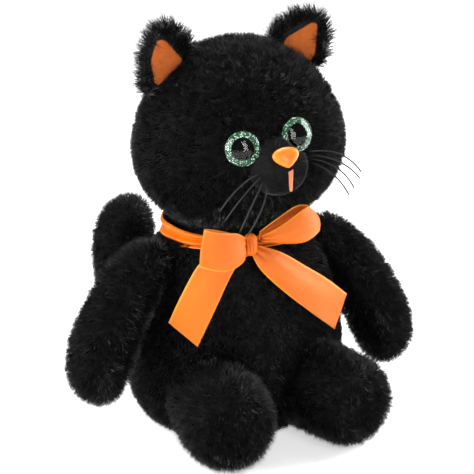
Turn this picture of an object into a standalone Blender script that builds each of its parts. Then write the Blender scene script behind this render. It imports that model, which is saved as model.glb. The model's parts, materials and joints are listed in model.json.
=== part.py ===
"""Seated plush cat with a satin bow, in metres.

+Z is up, the face looks towards -Y and the cat's left side is +X. The origin is the middle of the
flat patch under the seat. Every soft form is a cage of quads round a unit sphere: a shape function
moves the cage, planes cut it into cloth panels, and each panel gets a wall.
"""

import math

import bmesh
import bpy
from mathutils import Matrix, Vector

# Cloth, gaps and the floor
WALL = 0.0025  # pile fabric with its backing
GAP = 0.0003  # between pieces that touch
SEAM = 0.0003  # from a seam's plane to each of its two panels
TUCK = 0.0019  # between a panel and the stuffing in it, where the cage is coarse
SQUASH = 0.0014  # how far the weight flattens the seat on the floor

# Torso
TORSO_CENTRE = Vector((0.0, -0.002, 0.0600))
TORSO_HALF_WIDTH = 0.0660
TORSO_HALF_DEPTH = 0.0550
TORSO_HALF_HEIGHT = 0.0600
TORSO_FULLNESS = 0.45  # 1 is an ellipsoid, less is a fuller barrel
TORSO_TAPER = 0.14
SIDE_SEAM_Y = 0.006
SEAT_SEAM_Z = 0.016
PELLET_TOP_Z = 0.026

# Neck: a ball of stuffing between the torso and the head
NECK = Vector((0.0, -0.002, 0.1140))
NECK_RADIUS = 0.0310

# Head
HEAD_CENTRE = Vector((0.002, -0.003, 0.1715))
HEAD_TILT = (-4.0, -4.0, -5.0)  # degrees about X, Y and Z at rest
HEAD_HALF_WIDTH = 0.0607
HEAD_HALF_DEPTH = 0.0510
HEAD_HALF_HEIGHT = 0.0507
CHEEKS = 0.12  # how much wider the head is low down
HEAD_SEAM_Y = 0.006

# Eyes
EYE_PLACES = {"right": (-0.0157, 0.0025), "left": (0.0160, 0.0049)}  # x and z on the face
EYE_RADIUS = 0.0096
PUPIL_RADIUS = 0.0061
EYE_DISC = 0.0010
EYE_DOME = 0.0042
EYE_PROUD = 0.0006  # from the cloth at the eye's middle to the back of its disc
POST_RADIUS = 0.0015
POST_LENGTH = 0.0110
POST_FIT = 0.0005
WASHER_RADIUS = 0.0065
WASHER_THICKNESS = 0.0012
POCKET_FIT = 0.0010

# Muzzle, nose and mouth
MUZZLE_CENTRE = Vector((0.003, -0.049, -0.0098))
MUZZLE_TILT = (0.0, -10.0, 0.0)
MUZZLE_HALF_WIDTH = 0.0165
MUZZLE_HALF_DEPTH = 0.0195
MUZZLE_HALF_HEIGHT = 0.0148
NOSE_PLACE = (-0.0005, 0.0072)  # x and z on the muzzle
NOSE_PITCH = 26.0
NOSE_HALF_WIDTH = 0.0068
NOSE_HALF_HEIGHT = 0.0058
NOSE_HALF_DEPTH = 0.0030
NOSE_POST_LENGTH = 0.0090
STITCH_RADIUS = 0.0009
STITCH_SPAN = (12.0, 62.0)  # degrees below the muzzle's middle

# Whiskers: root, middle and tip from the head's centre, for each side from the outer one inwards
WHISKER_RADIUS = 0.0004
WHISKERS = {
    "right": (
        ((-0.0128, -0.0632, -0.0093), (-0.0250, -0.0655, -0.0135), (-0.0360, -0.0600, -0.0267)),
        ((-0.0122, -0.0636, -0.0113), (-0.0230, -0.0670, -0.0175), (-0.0345, -0.0620, -0.0321)),
        ((-0.0110, -0.0640, -0.0133), (-0.0190, -0.0690, -0.0215), (-0.0275, -0.0650, -0.0387)),
        ((-0.0098, -0.0644, -0.0153), (-0.0150, -0.0700, -0.0255), (-0.0240, -0.0670, -0.0407)),
    ),
    "left": (
        ((0.0200, -0.0560, -0.0037), (0.0350, -0.0585, -0.0065), (0.0490, -0.0560, -0.0205)),
        ((0.0202, -0.0564, -0.0055), (0.0340, -0.0600, -0.0105), (0.0470, -0.0575, -0.0230)),
        ((0.0200, -0.0568, -0.0075), (0.0320, -0.0610, -0.0135), (0.0425, -0.0590, -0.0277)),
        ((0.0198, -0.0572, -0.0095), (0.0290, -0.0620, -0.0165), (0.0388, -0.0600, -0.0307)),
    ),
}

# Ears: each is sewn to the head along its own line and leans its own way
EAR_PLACES = {"right": (-0.0385, 0.0388), "left": (0.0365, 0.0398)}  # x and z on the head
EAR_SPLAY = 37.0
EAR_LEAN = {"right": -0.45, "left": -0.02}  # sideways shift for each unit of height
EAR_FORWARD = 15.0
EAR_HALF_WIDTH = 0.0215
EAR_HEIGHT = 0.0235
EAR_HALF_THICKNESS = 0.0038
EAR_CUP = 0.0040
EAR_WRAP = 0.0040  # how far the ends of the base come down round the head
EAR_CLEARANCE = 0.0020  # the fold needs room under the ear
LINING_THICKNESS = 0.0008
LINING_CORNERS = ((-0.0072, 0.0032), (0.0072, 0.0032), (0.0, 0.0172))  # x and z from the ear's base
LINING_ROUNDING = 0.0031

# Arms
SHOULDER = Vector((0.0560, -0.0080, 0.1000))
SHOULDER_RADIUS = 0.0130
PAWS = {"right": Vector((0.0905, -0.0240, 0.0522)), "left": Vector((0.0845, -0.0240, 0.0450))}
PAW_RADIUS = 0.0180
ARM_BOW = 0.0085

# Legs
HIP = Vector((0.0300, -0.0380, 0.0270))
HIP_RADIUS = 0.0240
HIP_FIT = 0.0016  # the ball's socket in the torso, clear of the coarse forms that open it for the leg
FOOT = Vector((0.0362, -0.0655, 0.0272))
FOOT_RADIUS = 0.0247
FOOT_FRONT = 0.0225  # from the foot's middle to its sole
SOLE_DEPTH = 0.0120
SOLE_BLUNTNESS = 0.2  # 1 is a round end, less is a flatter one

# Tail
TAIL_ROOT = Vector((-0.0180, 0.0600, 0.0300))
TAIL_TIP = Vector((-0.0320, 0.0730, 0.0960))
TAIL_ROOT_RADIUS = 0.0160
TAIL_TIP_RADIUS = 0.0180
TAIL_BOW = 0.0130

# How far each soft joint bends, in degrees about its hinge
ARM_SWING = (-45.0, 10.0)  # about X, forwards is negative
LEG_LIFT = (-20.0, 0.0)  # about X
TAIL_WAG = (-15.0, 15.0)  # about Y
SWING_STEPS = 4

# Ribbon
RIBBON_WIDTH = 0.0220
RIBBON = 0.0007
BAND_HALF_WIDTH = 0.0455
BAND_HALF_DEPTH = 0.0385
BAND_HEIGHT = 0.0120
BAND_Z = 0.1170
BAND_FLARE = 0.0020
KNOT = Vector((-0.0120, -0.0475, 0.1190))
KNOT_RADII = Vector((0.0062, 0.0046, 0.0068))
GATHERED = 0.30  # the ribbon's width at the knot, as a share of its full width
LOOP_TIPS = {"right": Vector((-0.0440, -0.0560, 0.1210)), "left": Vector((0.0270, -0.0510, 0.1295))}
LOOP_BULGE = 0.0042
LOOP_ROLL = {"right": 6.0, "left": -16.0}
TAIL_ENDS = {
    "right": (Vector((-0.0560, -0.0340, 0.0765)), Vector((-0.0440, -0.0465, 0.0645))),
    "left": (Vector((0.0435, -0.0450, 0.0590)), Vector((0.0545, -0.0390, 0.0770))),
}
TAIL_ARCH = 0.0050

SIDES = {"right": -1, "left": 1}
HALVES = {"front": -1, "back": 1}

# Materials: colour, roughness
FUR = ("black_pile", (0.012, 0.012, 0.014), 0.95)
VELOUR = ("black_velour", (0.016, 0.016, 0.019), 0.85)
FELT = ("apricot_felt", (0.66, 0.14, 0.03), 0.90)
SATIN = ("orange_satin", (0.86, 0.20, 0.01), 0.35)
THREAD = ("apricot_thread", (0.80, 0.22, 0.06), 0.60)
STUFFING = ("white_fibre", (0.80, 0.80, 0.78), 1.00)
PELLETS = ("grey_calico", (0.55, 0.53, 0.50), 0.90)
NOSE_PLASTIC = ("orange_plastic", (0.88, 0.25, 0.01), 0.20)
CLEAR = ("clear_plastic", (0.95, 0.97, 0.96), 0.05)
BLACK_PLASTIC = ("black_plastic", (0.004, 0.004, 0.004), 0.25)
GLITTER = ("green_glitter", (0.03, 0.28, 0.10), 0.30)
WASHER_PLASTIC = ("white_plastic", (0.75, 0.75, 0.73), 0.45)
WHISKER_THREAD = ("black_thread", (0.010, 0.010, 0.010), 0.50)


# Scene helpers


def clear_scene():
    for obj in list(bpy.data.objects):
        bpy.data.objects.remove(obj)


def new_collection(name):
    collection = bpy.data.collections.new(name)
    bpy.context.scene.collection.children.link(collection)
    return collection


def paint(obj, look):
    name, colour, roughness = look
    material = bpy.data.materials.get(name) or bpy.data.materials.new(name)
    material.use_nodes = True
    shader = material.node_tree.nodes["Principled BSDF"]
    shader.inputs["Base Color"].default_value = (*colour, 1.0)
    shader.inputs["Roughness"].default_value = roughness
    shader.inputs["Metallic"].default_value = 0.0
    if look is CLEAR:
        shader.inputs["Transmission Weight"].default_value = 1.0
    obj.data.materials.append(material)


def turned(degrees):
    """The rotation about X, then Y, then Z."""
    x, y, z = (math.radians(angle) for angle in degrees)
    return Matrix.Rotation(z, 4, "Z") @ Matrix.Rotation(y, 4, "Y") @ Matrix.Rotation(x, 4, "X")


def empty(name, matrix, parent=None):
    obj = bpy.data.objects.new(name, None)
    parts.objects.link(obj)
    obj.parent = parent
    obj.matrix_local = matrix
    return obj


def add(name, bm, parent, look, matrix=None, smooth=True):
    """The cage bm as a named object under its parent."""
    mesh = bpy.data.meshes.new(name)
    bm.to_mesh(mesh)
    bm.free()
    obj = bpy.data.objects.new(name, mesh)
    parts.objects.link(obj)
    obj.parent = parent
    obj.matrix_local = matrix or Matrix()
    paint(obj, look)
    if smooth:
        mesh.shade_smooth()
    return obj


def as_cutter(obj):
    parts.objects.unlink(obj)
    cutters.objects.link(obj)
    obj.hide_render = True
    obj.display_type = "WIRE"
    return obj


def subdivide(obj):
    modifier = obj.modifiers.new("Smooth", "SUBSURF")
    modifier.levels = modifier.render_levels = 1


def thicken(obj, thickness, offset=-1.0):
    modifier = obj.modifiers.new("Wall", "SOLIDIFY")
    modifier.thickness = thickness
    modifier.offset = offset
    modifier.use_even_offset = True


def cut(obj, *tools):
    """Takes each closed form away from the object. EXACT drops whole panels where a socket meets a seam."""
    for tool in tools:
        modifier = obj.modifiers.new("Cut " + tool.name, "BOOLEAN")
        modifier.object = tool
        modifier.operation = "DIFFERENCE"
        modifier.solver = "MANIFOLD"


# Forms


def cage(shape, segments=10, rings=8, smooth=True, bow=(0.0, 1.0)):
    """A sphere of quads, each point moved by shape. A cage that is smoothed starts outside the form."""
    bm = bmesh.new()
    bmesh.ops.create_uvsphere(bm, u_segments=segments, v_segments=rings, radius=1.0)
    round_the_axis = (6 + 2 * math.cos(2 * math.pi / segments)) / 8
    along_the_axis = (6 + 2 * math.cos(math.pi / rings)) / 8
    fullness = 1 / (round_the_axis * along_the_axis) if smooth else 1.0
    for vertex in bm.verts:
        vertex.co = shape(vertex.co, fullness)
        vertex.co.x += bow[0] * (1 - (vertex.co.z / bow[1]) ** 2)
    return bm


def half_space(name, point, normal, parent, matrix):
    """A cutter that leaves the side of a plane that the normal points to, less half the seam's gap."""
    side = Vector(normal).normalized()
    reach = 0.4
    bm = bmesh.new()
    bmesh.ops.create_cube(bm, size=reach)
    turn = Vector((0, 0, 1)).rotation_difference(side).to_matrix().to_4x4()
    place = Matrix.Translation(Vector(point) + side * (SEAM - reach / 2)) @ turn
    bmesh.ops.transform(bm, matrix=place, verts=bm.verts)
    return as_cutter(add(name, bm, parent, STUFFING, matrix))


def inside_of(name, bm, parent, matrix=None):
    """The cutter that hollows every panel of one form."""
    obj = as_cutter(add(name, bm, parent, STUFFING, matrix))
    subdivide(obj)
    return obj


def panel(name, bm, planes, inside, parent, look, matrix=None):
    """A closed form cut down to one cloth panel at its seams, then hollowed."""
    obj = add(name, bm, parent, look, matrix)
    subdivide(obj)
    for number, (point, normal) in enumerate(planes, 1):
        cut(obj, half_space(f"{name}_seam_{number}", point, normal, parent, matrix))
    cut(obj, inside)
    return obj


def keep(bm, *planes):
    """Cuts the open surface at each plane (point, normal) and keeps the side that the normal points to."""
    for point, normal in planes:
        geometry = bm.verts[:] + bm.edges[:] + bm.faces[:]
        side = Vector(normal).normalized()
        bmesh.ops.bisect_plane(
            bm, geom=geometry, plane_co=Vector(point) + SEAM * side, plane_no=side, clear_inner=True
        )


def ball(name, centre, radius, segments=18, rings=12):
    bm = bmesh.new()
    bmesh.ops.create_uvsphere(bm, u_segments=segments, v_segments=rings, radius=radius)
    obj = add(name, bm, None, STUFFING, Matrix.Translation(centre))
    return obj


def cylinder(name, radius, start, end, parent, look, matrix, segments=16):
    """A round bar along the local Y axis."""
    bm = bmesh.new()
    bmesh.ops.create_cone(
        bm, cap_ends=True, segments=segments, radius1=radius, radius2=radius, depth=end - start
    )
    lay = Matrix.Translation((0, (start + end) / 2, 0)) @ Matrix.Rotation(math.pi / 2, 4, "X")
    bmesh.ops.transform(bm, matrix=lay, verts=bm.verts)
    return add(name, bm, parent, look, matrix)


def floor_cutter(name, level):
    """Takes away what lies below a level, so that the weight presses a flat patch there."""
    reach, depth = 0.5, 0.05
    bm = bmesh.new()
    bmesh.ops.create_cube(bm, size=1.0)
    below = Matrix.Translation((0, 0, level - depth / 2)) @ Matrix.Diagonal((reach, reach, depth, 1.0))
    bmesh.ops.transform(bm, matrix=below, verts=bm.verts)
    return as_cutter(add(name, bm, None, STUFFING))


# Torso


def torso_shape(inset):
    def shape(p, fullness):
        ring = max(math.hypot(p.x, p.y), 1e-9)
        swell = ring**TORSO_FULLNESS / ring * (1 - TORSO_TAPER * (p.z + 0.3))
        if ring < 1e-6:
            swell = 0.0
        return Vector(
            (
                (TORSO_HALF_WIDTH * fullness - inset) * p.x * swell,
                (TORSO_HALF_DEPTH * fullness - inset) * p.y * swell,
                (TORSO_HALF_HEIGHT * fullness + SQUASH - inset) * p.z,
            )
        )

    return shape


def torso_cage(inset=0.0):
    return cage(torso_shape(inset), 10, 10)


def swept(name, make_cage, frame, pivot, axis, swing):
    """Cutters for every step of a swing: one form, turned each way about the pivot."""
    low, high = swing
    tools = []
    for step in range(SWING_STEPS + 1):
        angle = math.radians(low + (high - low) * step / SWING_STEPS)
        turn = Matrix.Translation(pivot) @ Matrix.Rotation(angle, 4, axis) @ Matrix.Translation(-pivot)
        tool = add(f"{name}_{step}", make_cage(), root, STUFFING, turn @ frame)
        subdivide(tool)
        tools.append(as_cutter(tool))
    return tools


def torso_seats(name, pivot, axis, swing):
    """The torso's form as a limb meets it through its swing, which shapes the limb's sewn end."""
    away = (-swing[1], -swing[0])
    frame = Matrix.Translation(TORSO_CENTRE)
    return swept(name, lambda: torso_cage(-GAP), frame, pivot, axis, away)


def make_torso(neck_socket, floor):
    at = Matrix.Translation(TORSO_CENTRE)
    hip_sockets = []
    filling_sockets = [neck_socket]
    for name, sign in SIDES.items():
        lifted = leg_sockets(name, sign)
        radius = HIP_RADIUS + HIP_FIT
        hip_sockets.append(as_cutter(ball(f"hip_socket_{name}", mirrored(HIP, sign), radius)))
        hip_sockets.extend(lifted)
        inner_ball = ball(f"hip_hollow_{name}", mirrored(HIP, sign), radius + TUCK)
        filling_sockets.extend((as_cutter(inner_ball), lifted[0], lifted[-1]))
    seat = SEAT_SEAM_Z - TORSO_CENTRE.z
    side = SIDE_SEAM_Y
    above = ((0, 0, seat), (0, 0, 1))
    front = ((0, side, 0), (0, -1, 0))
    back = ((0, side, 0), (0, 1, 0))
    inside = inside_of("torso_inside", torso_cage(WALL), root, at)
    cut(inside, floor_cutter("inner_floor", WALL))
    belly = panel("belly_panel", torso_cage(), (above, front), inside, root, FUR, at)
    cut(belly, neck_socket, *hip_sockets)
    for name, sign in SIDES.items():
        half = ((0, 0, 0), (sign, 0, 0))
        piece = panel(f"back_panel_{name}", torso_cage(), (above, back, half), inside, root, FUR, at)
        cut(piece, neck_socket)
    below = ((0, 0, seat), (0, 0, -1))
    base = panel("seat_panel", torso_cage(), (below,), inside, root, FUR, at)
    cut(base, floor, *hip_sockets)
    make_torso_filling(filling_sockets, at)


def make_torso_filling(sockets, at):
    """Stuffing down to a level, and a bag of pellets under it for weight."""
    inner = torso_shape(WALL + TUCK + SQUASH)
    level = PELLET_TOP_Z - TORSO_CENTRE.z
    for name, look, side in (("torso_stuffing", STUFFING, 1), ("pellet_bag", PELLETS, -1)):
        bm = cage(inner, 12, 10, smooth=False)
        keep(bm, ((0, 0, level), (0, 0, side)))
        bmesh.ops.holes_fill(bm, edges=[edge for edge in bm.edges if edge.is_boundary])
        piece = add(name, bm, root, look, at)
        cut(piece, *(sockets if side > 0 else sockets[1:]))


# Head


def head_shape(inset):
    def shape(p, fullness):
        wide = 1 - CHEEKS * p.z
        return Vector(
            (
                (HEAD_HALF_WIDTH * fullness - inset) * p.x * wide,
                (HEAD_HALF_DEPTH * fullness - inset) * p.y * wide,
                (HEAD_HALF_HEIGHT * fullness - inset) * p.z,
            )
        )

    return shape


def head_cage(inset=0.0):
    return cage(head_shape(inset), 10, 8)


def on_head(x, z):
    """The point of the face at x and z, and the direction that points out of it."""
    up = z / HEAD_HALF_HEIGHT
    wide = 1 - CHEEKS * up
    across = x / (HEAD_HALF_WIDTH * wide)
    y = -HEAD_HALF_DEPTH * wide * math.sqrt(1 - across**2 - up**2)
    out = Vector((x / HEAD_HALF_WIDTH**2, y / HEAD_HALF_DEPTH**2, z / HEAD_HALF_HEIGHT**2))
    return Vector((x, y, z)), out.normalized()


def on_muzzle(x, z):
    share = (x / MUZZLE_HALF_WIDTH) ** 2 + (z / MUZZLE_HALF_HEIGHT) ** 2
    return Vector((x, -MUZZLE_HALF_DEPTH * math.sqrt(1 - share), z))


def facing(point, out):
    """The frame at a point whose -Y axis points out and whose X axis is level."""
    back = -out
    across = back.cross(Vector((0, 0, 1))).normalized()
    up = across.cross(back).normalized()
    axes = Matrix((across, back, up)).transposed()
    return Matrix.Translation(point) @ axes.to_4x4()


def make_head(neck_socket):
    seam = HEAD_SEAM_Y
    eyes = {name: facing(*on_head(*place)) for name, place in EYE_PLACES.items()}
    muzzle_frame = Matrix.Translation(MUZZLE_CENTRE) @ turned(MUZZLE_TILT)
    nose_frame = muzzle_frame @ Matrix.Translation(on_muzzle(*NOSE_PLACE))
    nose_frame = nose_frame @ turned((-NOSE_PITCH, 0, 0))
    pockets = []
    inside = inside_of("head_inside", head_cage(WALL), head)
    for name, sign in SIDES.items():
        half = ((0, 0, 0), (sign, 0, 0))
        front = ((0, seam, 0), (0, -1, 0))
        back = ((0, seam, 0), (0, 1, 0))
        face = panel(f"face_panel_{name}", head_cage(), (front, half), inside, head, FUR)
        rear = panel(f"head_back_panel_{name}", head_cage(), (back, half), inside, head, FUR)
        hole = post_cutter(f"eye_hole_{name}", POST_RADIUS + POST_FIT, eyes[name])
        cut(face, neck_socket, hole)
        cut(rear, neck_socket)
        pockets.append(pocket_cutter(f"eye_pocket_{name}", eyes[name]))
        make_eye(name, eyes[name])
    inner = cage(head_shape(WALL + TUCK), 12, 8, smooth=False)
    stuffing = add("head_stuffing", inner, head, STUFFING)
    cut(stuffing, neck_socket, *pockets)
    make_muzzle(muzzle_frame, nose_frame, eyes)


def post_cutter(name, radius, frame):
    return as_cutter(cylinder(name, radius, -0.006, 0.009, head, STUFFING, frame, 12))


def pocket_cutter(name, frame):
    depth = POST_LENGTH + POCKET_FIT
    return as_cutter(cylinder(name, WASHER_RADIUS + POCKET_FIT, -0.006, depth, head, STUFFING, frame))


def make_eye(name, frame):
    """A black pupil on a post, a glitter disc round it, a clear dome over both and a washer behind."""
    disc = -EYE_PROUD
    ring = cylinder(
        f"eye_glitter_{name}", EYE_RADIUS, disc - EYE_DISC, disc, head, GLITTER, frame, 24
    )
    bore = cylinder(f"eye_bore_{name}", PUPIL_RADIUS + GAP, -0.01, 0.01, head, CLEAR, frame, 24)
    cut(ring, as_cutter(bore))
    make_pupil(name, frame, disc)
    make_dome(name, frame, disc - EYE_DISC - GAP)
    inner = WALL + 2 * TUCK
    washer = cylinder(
        f"eye_washer_{name}",
        WASHER_RADIUS,
        inner,
        inner + WASHER_THICKNESS,
        head,
        WASHER_PLASTIC,
        frame,
    )
    hole = cylinder(f"washer_bore_{name}", POST_RADIUS + GAP, -0.01, 0.02, head, CLEAR, frame, 12)
    cut(washer, as_cutter(hole))


def make_pupil(name, frame, disc):
    """Turned: the post, then the disc in the middle of the glitter."""
    profile = [
        (0.0, POST_LENGTH),
        (POST_RADIUS, POST_LENGTH),
        (POST_RADIUS, disc),
        (PUPIL_RADIUS, disc),
        (PUPIL_RADIUS, disc - EYE_DISC),
        (0.0, disc - EYE_DISC),
    ]
    turned_piece(f"eye_pupil_{name}", profile, head, BLACK_PLASTIC, frame, 18)


def make_dome(name, frame, base):
    sphere = (EYE_RADIUS**2 + EYE_DOME**2) / (2 * EYE_DOME)
    half_angle = math.asin(EYE_RADIUS / sphere)
    profile = [(0.0, base), (EYE_RADIUS, base)]
    steps = 3
    for step in range(steps - 1, -1, -1):
        angle = half_angle * step / steps
        rise = sphere * (math.cos(angle) - math.cos(half_angle))
        profile.append((sphere * math.sin(angle), base - rise))
    turned_piece(f"eye_dome_{name}", profile, head, CLEAR, frame, 20)


def turned_piece(name, profile, parent, look, matrix, steps):
    """A profile of (radius, depth) points, turned about the local Y axis."""
    mesh = bpy.data.meshes.new(name)
    points = [(radius, depth, 0.0) for radius, depth in profile]
    mesh.from_pydata(points, [(i, i + 1) for i in range(len(points) - 1)], [])
    obj = bpy.data.objects.new(name, mesh)
    parts.objects.link(obj)
    obj.parent = parent
    obj.matrix_local = matrix
    paint(obj, look)
    screw = obj.modifiers.new("Turn", "SCREW")
    screw.axis = "Y"
    screw.steps = screw.render_steps = steps
    screw.use_merge_vertices = True
    screw.merge_threshold = 0.000001
    screw.use_smooth_shade = False
    return obj


def muzzle_shape(inset):
    def shape(p, fullness):
        return Vector(
            (
                (MUZZLE_HALF_WIDTH * fullness - inset) * p.x,
                (MUZZLE_HALF_DEPTH * fullness - inset) * p.y,
                (MUZZLE_HALF_HEIGHT * fullness - inset) * p.z,
            )
        )

    return shape


def make_muzzle(frame, nose_frame, eyes):
    """The snout sits on the face panels and beside the eyes, so both cut its back."""
    outline = as_cutter(add("head_outline", head_cage(-GAP), head, STUFFING))
    subdivide(outline)
    rims = []
    for side, eye in eyes.items():
        rim = cylinder(f"eye_rim_{side}", EYE_RADIUS + 2 * GAP, -0.02, 0.02, head, CLEAR, eye, 24)
        rims.append(as_cutter(rim))
    inside = inside_of("muzzle_inside", cage(muzzle_shape(WALL), 10, 8), head, frame)
    cover = add("muzzle_cover", cage(muzzle_shape(0.0), 10, 8), head, VELOUR, frame)
    subdivide(cover)
    hole = cylinder("nose_hole", POST_RADIUS + POST_FIT, -0.01, 0.01, head, STUFFING, nose_frame, 12)
    cut(cover, outline, inside, as_cutter(hole), *rims)
    inner = cage(muzzle_shape(WALL + TUCK), 12, 8, smooth=False)
    stuffing = add("muzzle_stuffing", inner, head, STUFFING, frame)
    depth = NOSE_POST_LENGTH + POCKET_FIT
    pocket = cylinder(
        "nose_pocket", WASHER_RADIUS - 0.002, -0.01, depth, head, STUFFING, nose_frame, 12
    )
    cut(stuffing, outline, as_cutter(pocket), *rims)
    make_nose(nose_frame)
    make_mouth(frame)


def make_nose(frame):
    """A rounded triangle, point down, with a post and a washer."""

    def shape(p, fullness):
        narrow = 0.62 + 0.38 * (p.z + 0.25)
        return Vector(
            (
                NOSE_HALF_WIDTH * fullness * p.x * narrow * 1.15,
                NOSE_HALF_DEPTH * fullness * p.y,
                NOSE_HALF_HEIGHT * fullness * p.z,
            )
        )

    lift = NOSE_HALF_DEPTH + 2 * GAP
    body = add("nose", cage(shape, 8, 6), head, NOSE_PLASTIC, frame @ Matrix.Translation((0, -lift, 0)))
    subdivide(body)
    post = cylinder("nose_post", POST_RADIUS, -lift, NOSE_POST_LENGTH, head, NOSE_PLASTIC, frame, 12)
    join = body.modifiers.new("Post", "BOOLEAN")
    join.object = as_cutter(post)
    join.operation = "UNION"
    start = WALL + 2 * TUCK
    washer = cylinder(
        "nose_washer", WASHER_RADIUS - 0.003, start, start + WASHER_THICKNESS, head, WASHER_PLASTIC, frame
    )
    hole = cylinder("nose_bore", POST_RADIUS + GAP, -0.01, 0.02, head, CLEAR, frame, 12)
    cut(washer, as_cutter(hole))


def wire(name, points, radius, parent, look, matrix=None):
    curve = bpy.data.curves.new(name, "CURVE")
    curve.dimensions = "3D"
    curve.bevel_depth = radius
    curve.bevel_resolution = 0
    curve.use_fill_caps = True
    spline = curve.splines.new("POLY")
    spline.points.add(len(points) - 1)
    for place, point in zip(spline.points, points):
        place.co = (*point, 1.0)
    obj = bpy.data.objects.new(name, curve)
    parts.objects.link(obj)
    obj.parent = parent
    obj.matrix_local = matrix or Matrix()
    paint(obj, look)
    return obj


def make_mouth(frame):
    """One straight stitch down the middle of the snout, standing just off its cloth."""
    points = []
    first, last = STITCH_SPAN
    steps = 6
    for step in range(steps + 1):
        angle = math.radians(first + (last - first) * step / steps)
        lift = 0.0006 + STITCH_RADIUS
        depth = (MUZZLE_HALF_DEPTH + lift) * math.cos(angle)
        drop = (MUZZLE_HALF_HEIGHT + lift) * math.sin(angle)
        points.append((0.0, -depth, -drop))
    wire("mouth_stitch", points, STITCH_RADIUS, head, THREAD, frame)


def make_whiskers():
    """Each whisker is a bent thread: a smooth curve through its root, middle and tip."""
    for side, threads in WHISKERS.items():
        for number, (root_at, middle, tip) in enumerate(threads, 1):
            start, through, end = Vector(root_at), Vector(middle), Vector(tip)
            pull = 2 * through - (start + end) / 2
            steps = 5
            points = []
            for step in range(steps + 1):
                t = step / steps
                points.append((1 - t) ** 2 * start + 2 * t * (1 - t) * pull + t**2 * end)
            wire(f"whisker_{side}_{number}", points, WHISKER_RADIUS, head, WHISKER_THREAD)


# Ears


def ear_shape(lean):
    """A cupped, rounded triangle on its base line, which is the local X axis."""

    def shape(p, fullness):
        ring = max(math.hypot(p.x, p.y), 1e-6)
        height = max(EAR_HEIGHT * fullness * (0.62 * p.z + 0.38), 0.0)
        up = height / EAR_HEIGHT
        across = p.x / ring * ring**0.6 * (1 - 0.42 * up)
        x = EAR_HALF_WIDTH * fullness * across
        y = EAR_HALF_THICKNESS * fullness * p.y * (1 - 0.35 * up) - EAR_CUP * across**2
        return Vector((x + lean * height, y, height - EAR_WRAP * across**2))

    return shape


def make_ears():
    for side, sign in SIDES.items():
        x, z = EAR_PLACES[side]
        frame = Matrix.Translation((x, 0.0, z)) @ turned((0, sign * EAR_SPLAY, 0))
        frame = frame @ turned((EAR_FORWARD, 0, 0)) @ Matrix.Translation((0, 0, EAR_CLEARANCE))
        hinge = empty(f"ear_hinge_{side}", frame, head)
        shape = ear_shape(sign * EAR_LEAN[side])
        cover = add(f"ear_cover_{side}", cage(shape, 8, 8), hinge, FUR)
        subdivide(cover)
        make_lining(side, shape, sign * EAR_LEAN[side], hinge)


def make_lining(side, shape, lean, hinge):
    """A round-cornered triangle of felt on the front of the ear, cut by planes that touch its outline."""
    bm = cage(shape, 8, 8)
    planes = [((0, -0.0012, 0), (0, -1, 0))]
    corners = [Vector((x + lean * z, 0, z)) for x, z in LINING_CORNERS]
    sides = 12
    for number in range(sides):
        angle = 2 * math.pi * number / sides
        out = Vector((math.sin(angle), 0, -math.cos(angle)))
        furthest = max(corners, key=out.dot)
        planes.append((furthest + out * LINING_ROUNDING, -out))
    keep(bm, *planes)
    bmesh.ops.translate(bm, verts=bm.verts, vec=(0, -0.0009, 0))
    lining = add(f"ear_lining_{side}", bm, hinge, FELT)
    thicken(lining, LINING_THICKNESS, offset=1.0)


# Limbs and tail


def limb_shape(length, near, far, inset=0.0):
    """A round-ended sausage down the local Z axis, near radius at the top and far radius at the foot."""

    def shape(p, fullness):
        ring = max(math.hypot(p.x, p.y), 1e-6)
        t = (1 - p.z) / 2
        radius = near + (far - near) * t
        end = near if p.z > 0 else far
        round_part = min(1.0, 2 * (1 - abs(p.z)) * length / (2 * end))
        profile = math.sqrt(1 - (1 - round_part) ** 2)
        reach = (radius * fullness - inset) * profile
        return Vector(
            (
                p.x / ring * reach,
                p.y / ring * reach,
                p.z * (length * (1 + 0.6 * (fullness - 1)) - inset),
            )
        )

    return shape


def along(start, end):
    """The frame halfway from start to end, its +Z axis pointing back at start, its X axis outward."""
    z = (start - end).normalized()
    y = z.cross(Vector((1, 0, 0))).normalized()
    x = y.cross(z).normalized()
    return Matrix.Translation((start + end) / 2) @ Matrix((x, y, z)).transposed().to_4x4()


def mirrored(point, sign):
    return Vector((sign * point.x, point.y, point.z))


def make_arm(side, sign):
    shoulder = mirrored(SHOULDER, sign)
    paw = mirrored(PAWS[side], sign)
    hinge = empty(f"shoulder_{side}", Matrix.Translation(shoulder), root)
    half = (shoulder - paw).length / 2 + (SHOULDER_RADIUS + PAW_RADIUS) / 2
    drift = (PAW_RADIUS - SHOULDER_RADIUS) / 2
    frame = Matrix.Translation(-shoulder) @ along(shoulder, paw) @ Matrix.Translation((0, 0, -drift))
    sizes = (half, SHOULDER_RADIUS, PAW_RADIUS)
    bow = (sign * ARM_BOW, half)
    hollow = cage(limb_shape(*sizes, inset=WALL), 8, 6, bow=bow)
    inside = inside_of(f"arm_inside_{side}", hollow, hinge, frame)
    seats = torso_seats(f"arm_seat_{side}", shoulder, "X", ARM_SWING)
    for face, way in HALVES.items():
        skin = cage(limb_shape(*sizes), 8, 6, bow=bow)
        half_plane = ((0, 0, 0), (0, way, 0))
        piece = panel(f"arm_{face}_panel_{side}", skin, (half_plane,), inside, hinge, FUR, frame)
        cut(piece, *seats)
    packed = cage(limb_shape(*sizes, inset=WALL + TUCK), 8, 8, smooth=False, bow=bow)
    cut(add(f"arm_stuffing_{side}", packed, hinge, STUFFING, frame), *seats)


def leg_place(sign):
    """The leg's frame in the world, and half its length."""
    hip = mirrored(HIP, sign)
    foot = mirrored(FOOT, sign)
    forward = (foot - hip).normalized()
    toe = foot + forward * FOOT_FRONT
    heel = hip - forward * HIP_RADIUS
    return along(heel, toe), (heel - toe).length / 2


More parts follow.
